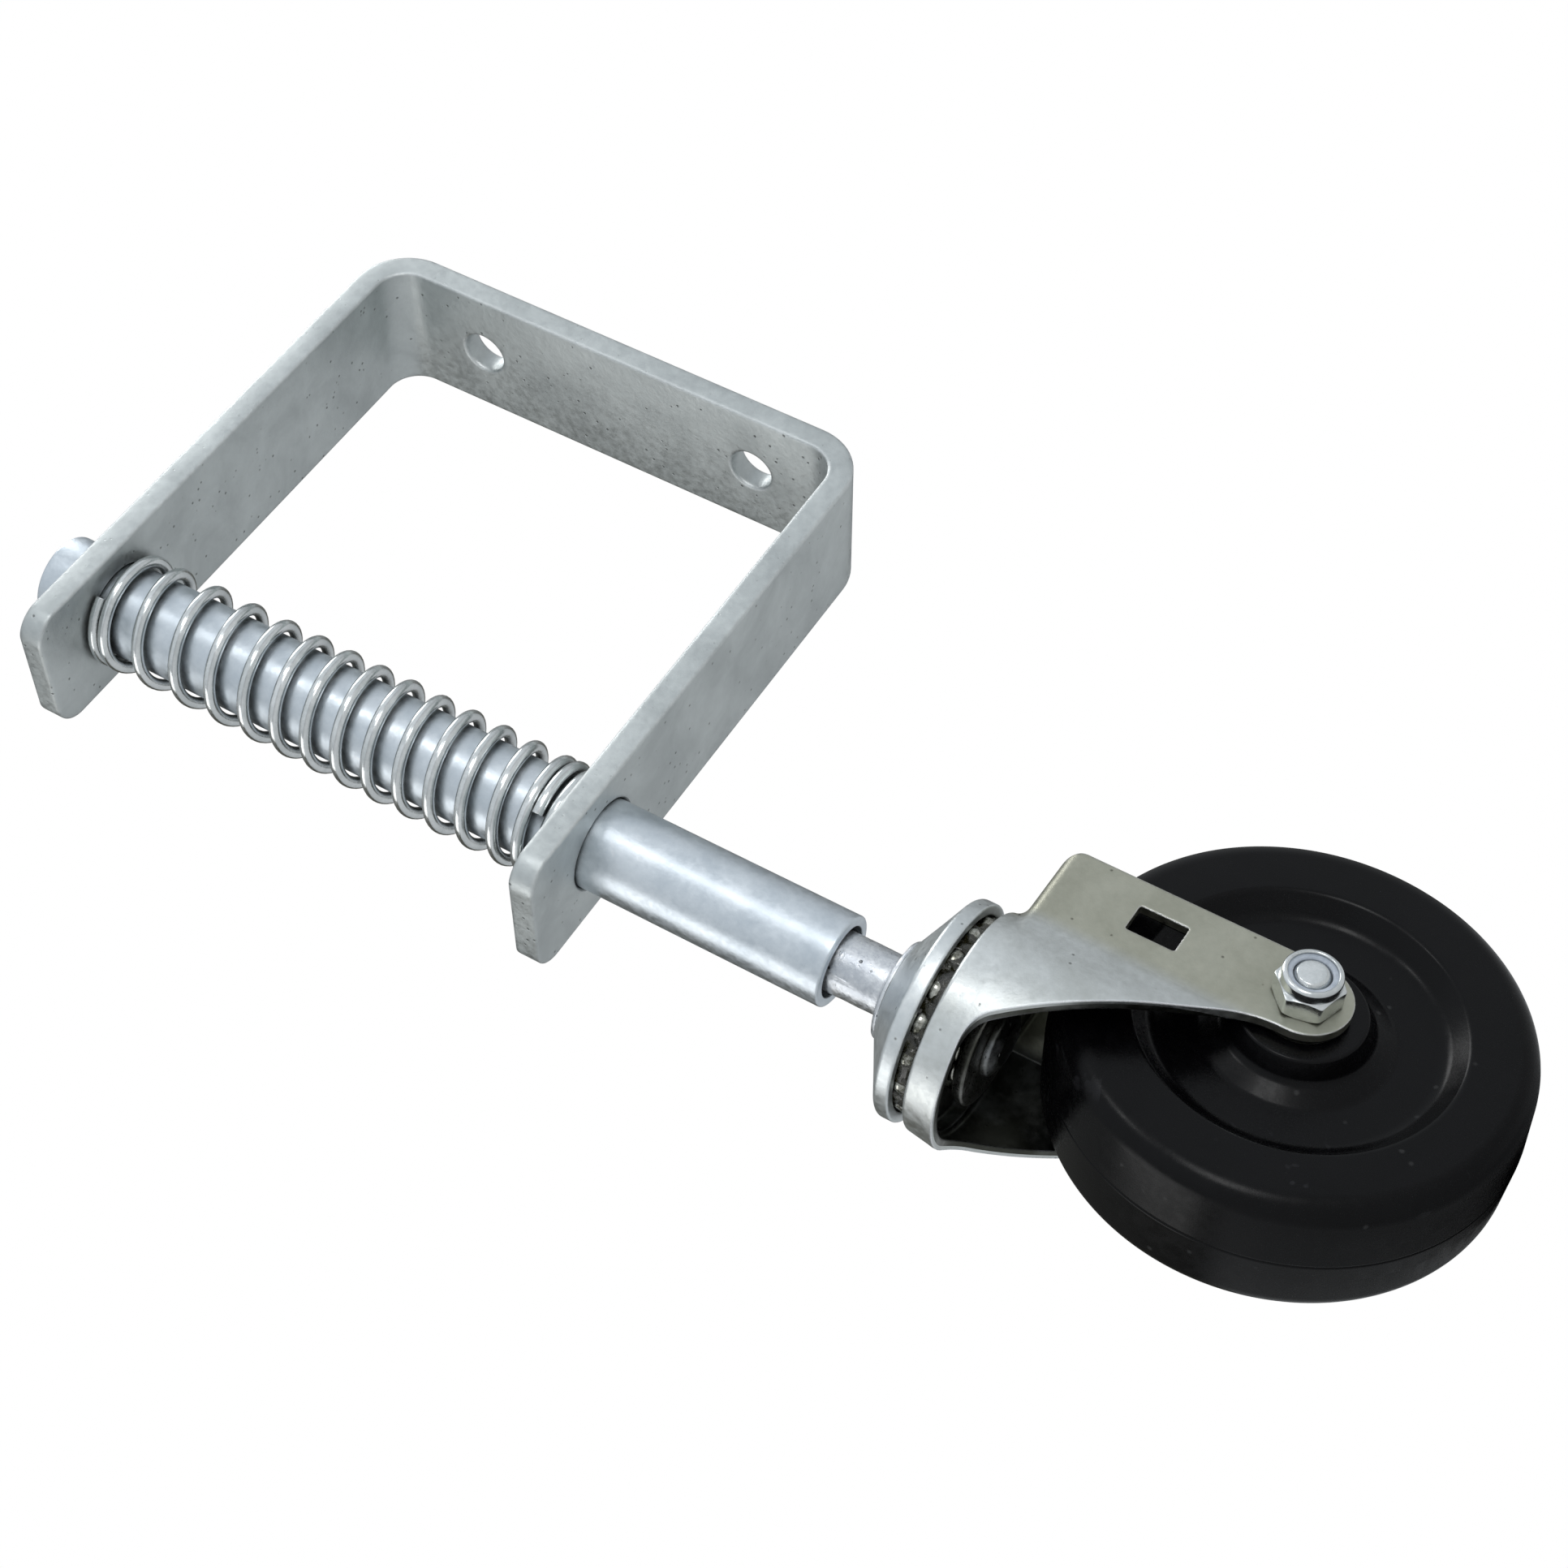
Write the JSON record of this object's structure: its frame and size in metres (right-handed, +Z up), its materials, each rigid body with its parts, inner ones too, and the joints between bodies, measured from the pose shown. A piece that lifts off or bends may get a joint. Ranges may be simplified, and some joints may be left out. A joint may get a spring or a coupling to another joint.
{
  "type": "gate wheel",
  "caption": "Spring-loaded swivel wheel for the end of a swing gate, with a U bracket, a sliding sprung tube and a swivel fork carrying a black wheel.",
  "frame": {"origin": "centre of the two gate bolt holes, on the outer face of the bracket's back plate", "axes": "+Z up along the rod, away from the wheel; +Y out of the back plate, towards the gate; +X across the bracket, towards the axle nut"},
  "size_m": [0.0592, 0.1435, 0.3491],
  "materials": {
    "zinc_bar": "matt mottled zinc plate on flat bar",
    "zinc_tube": "satin zinc plate on drawn tube",
    "zinc_sheet": "satin zinc plate with a faint olive passivation",
    "zinc_rough": "rough pitted zinc plate",
    "zinc_cap": "satin zinc plate on a pressing",
    "zinc_bright": "bright zinc plate",
    "race_steel": "oiled hardened steel",
    "ball_steel": "polished",
    "wheel_rubber": "satin black moulded hard rubber",
    "nylon": "natural nylon"
  },
  "bodies": {
    "bracket": {"bracket": "zinc_bar", "spring": "zinc_bright"},
    "rod": {"slide_tube": "zinc_tube", "tube_plug": "zinc_tube", "retaining_ring": "zinc_bright", "stem": "zinc_rough", "grip_sleeve": "race_steel", "kingpin": "zinc_rough", "swivel_cap": "zinc_cap", "lower_race": "race_steel"},
    "race_balls": {"upper_balls": "ball_steel", "lower_balls": "ball_steel"},
    "fork": {"fork": "zinc_sheet", "axle_bolt": "zinc_bright", "lock_nut": "zinc_bright", "nut_insert": "nylon", "axle_sleeve": "race_steel", "hub_washer_left": "zinc_bright", "hub_washer_right": "zinc_bright"},
    "wheel": {"wheel": "wheel_rubber", "hub_bushing": "race_steel"}
  },
  "joints": [
    {"name": "rod_slide", "type": "slide", "parent": "bracket", "child": "rod", "axis": [0, 0, 1], "range_m": [0, 0.06], "stiffness_N_per_m": 3170, "springref_m": -0.0095, "deforming": ["spring"]},
    {"name": "fork_swivel", "type": "hinge", "parent": "rod", "child": "fork", "pos_m": [0, -0.117, -0.1575], "axis": [0, 0, 1], "continuous": true},
    {"name": "ball_orbit", "type": "hinge", "parent": "rod", "child": "race_balls", "pos_m": [0, -0.117, -0.1547], "axis": [0, 0, 1], "continuous": true},
    {"name": "wheel_spin", "type": "hinge", "parent": "fork", "child": "wheel", "pos_m": [-0.00329, -0.0902, -0.21936], "axis": [0.9925, 0.1219, 0], "continuous": true}
  ],
  "couplings": [
    {"joint": "ball_orbit", "follows": "fork_swivel", "ratio": 0.5}
  ]
}
